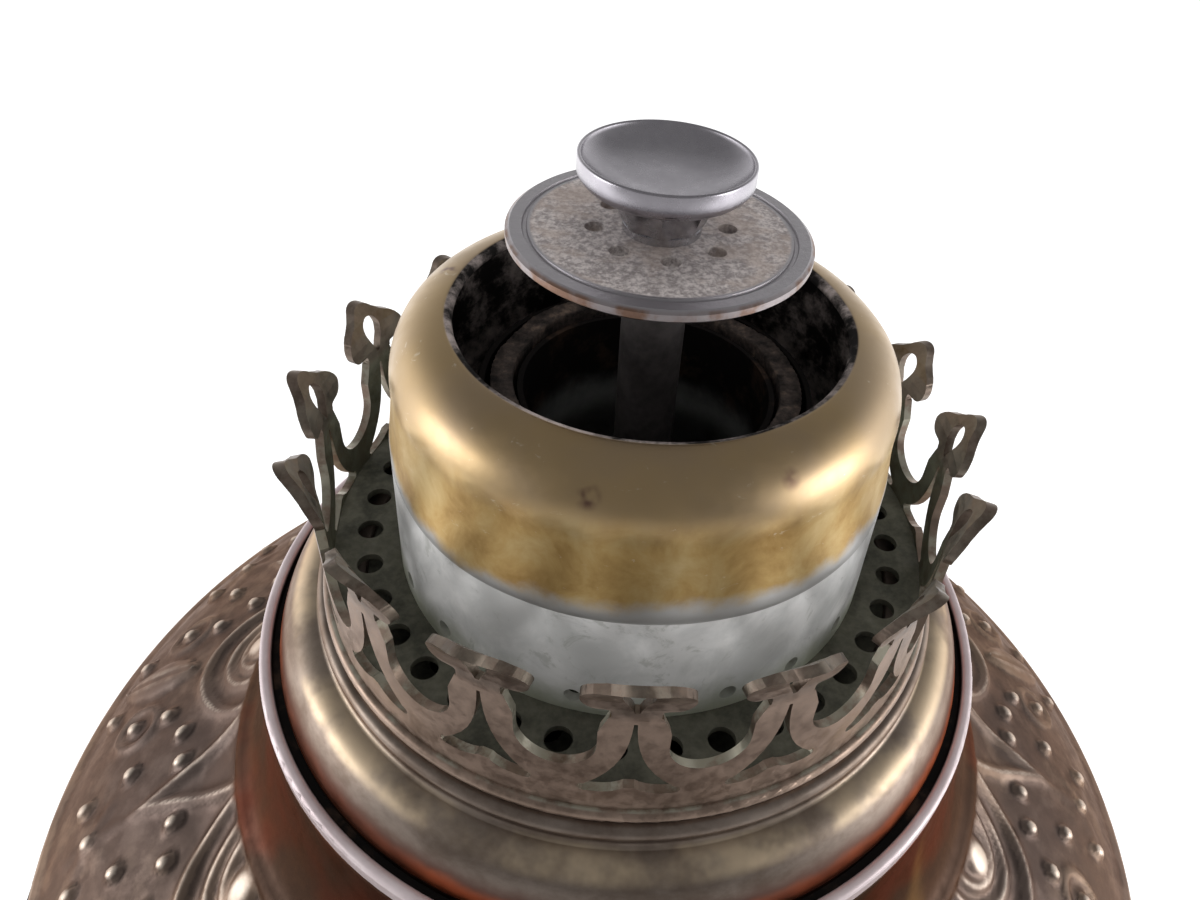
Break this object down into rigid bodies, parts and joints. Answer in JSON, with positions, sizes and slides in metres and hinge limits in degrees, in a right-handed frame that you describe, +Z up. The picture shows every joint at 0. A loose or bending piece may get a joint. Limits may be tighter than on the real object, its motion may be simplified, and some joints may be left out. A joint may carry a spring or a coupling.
{
  "type": "column lamp",
  "caption": "Oil lamp on a fluted column: embossed vase, drop-in tank, round-wick burner with pierced chimney gallery, brass deflector and flame spreader.",
  "frame": {"origin": "middle of the plinth's underside, on the table", "axes": "+Z up the lamp's axis, -Y towards the pictured front, wick winder on +Y"},
  "size_m": [0.1798, 0.1798, 0.4974],
  "materials": {
    "bronze": "aged copper bronze, embossed",
    "column_brass": "aged lacquered brass",
    "rim_metal": "worn bright",
    "iron": "dark",
    "brass": "aged",
    "burner_brass": "brown tarnish",
    "copper": "reddish patina",
    "tinned": "tinned, dull",
    "steel": "plain",
    "cotton": "charred at the top",
    "gallery_bronze": "dark bronze",
    "cap_brass": "aged brass, scratched",
    "gunmetal": "dark, worn"
  },
  "bodies": {
    "stand": {"base_cover": "iron", "plinth_shell": "column_brass", "base_weight": "iron", "rod_washer": "iron", "rod_nut_lower": "brass", "tie_rod": "iron", "column_base": "column_brass", "column_shaft": "column_brass", "shaft_astragal": "column_brass", "capital_bell": "column_brass", "capital_leaves": "column_brass", "capital_volutes": "column_brass", "abacus": "column_brass", "air_gallery": "column_brass", "rod_nut_upper": "brass", "vase_bowl": "bronze", "vase_band": "bronze", "vase_shoulder": "bronze", "neck_rim": "rim_metal"},
    "font": {"tank_flange": "copper", "tank_wall": "tinned", "tank_bottom": "tinned", "draught_tube": "tinned"},
    "burner": {"burner_dome": "burner_brass", "burner_floor": "burner_brass", "wick_tube": "tinned", "spindle_gland": "burner_brass"},
    "winder": {"winder_spindle": "steel", "winder_pinion": "brass", "winder_knob": "brass"},
    "wick": {"wick": "cotton", "wick_carrier": "tinned", "wick_rack": "brass"},
    "gallery": {"gallery_ring": "gallery_bronze", "air_plate": "gallery_bronze", "deflector_tube": "tinned", "deflector_cap": "cap_brass"},
    "spreader": {"spreader_disc": "gunmetal", "spreader_neck": "gunmetal", "spreader_button": "gunmetal", "spreader_stem": "gunmetal", "spreader_spider": "gunmetal"}
  },
  "joints": [
    {"name": "font_lift", "type": "slide", "parent": "stand", "child": "font", "axis": [0, 0, 1], "range_m": [0, 0.12]},
    {"name": "burner_lift", "type": "slide", "parent": "font", "child": "burner", "axis": [0, 0, 1], "range_m": [0, 0.09]},
    {"name": "winder_turn", "type": "hinge", "parent": "burner", "child": "winder", "pos_m": [0, 0.05, 0.4426], "axis": [0, -1, 0], "range_deg": [-230, 58]},
    {"name": "wick_raise", "type": "slide", "parent": "burner", "child": "wick", "axis": [0, 0, 1], "range_m": [-0.012, 0.003]},
    {"name": "gallery_lift", "type": "slide", "parent": "burner", "child": "gallery", "axis": [0, 0, 1], "range_m": [0, 0.06]},
    {"name": "spreader_lift", "type": "slide", "parent": "burner", "child": "spreader", "axis": [0, 0, 1], "range_m": [0, 0.06]}
  ],
  "couplings": [
    {"joint": "winder_turn", "follows": "wick_raise", "rad_per_m": 333.33}
  ]
}
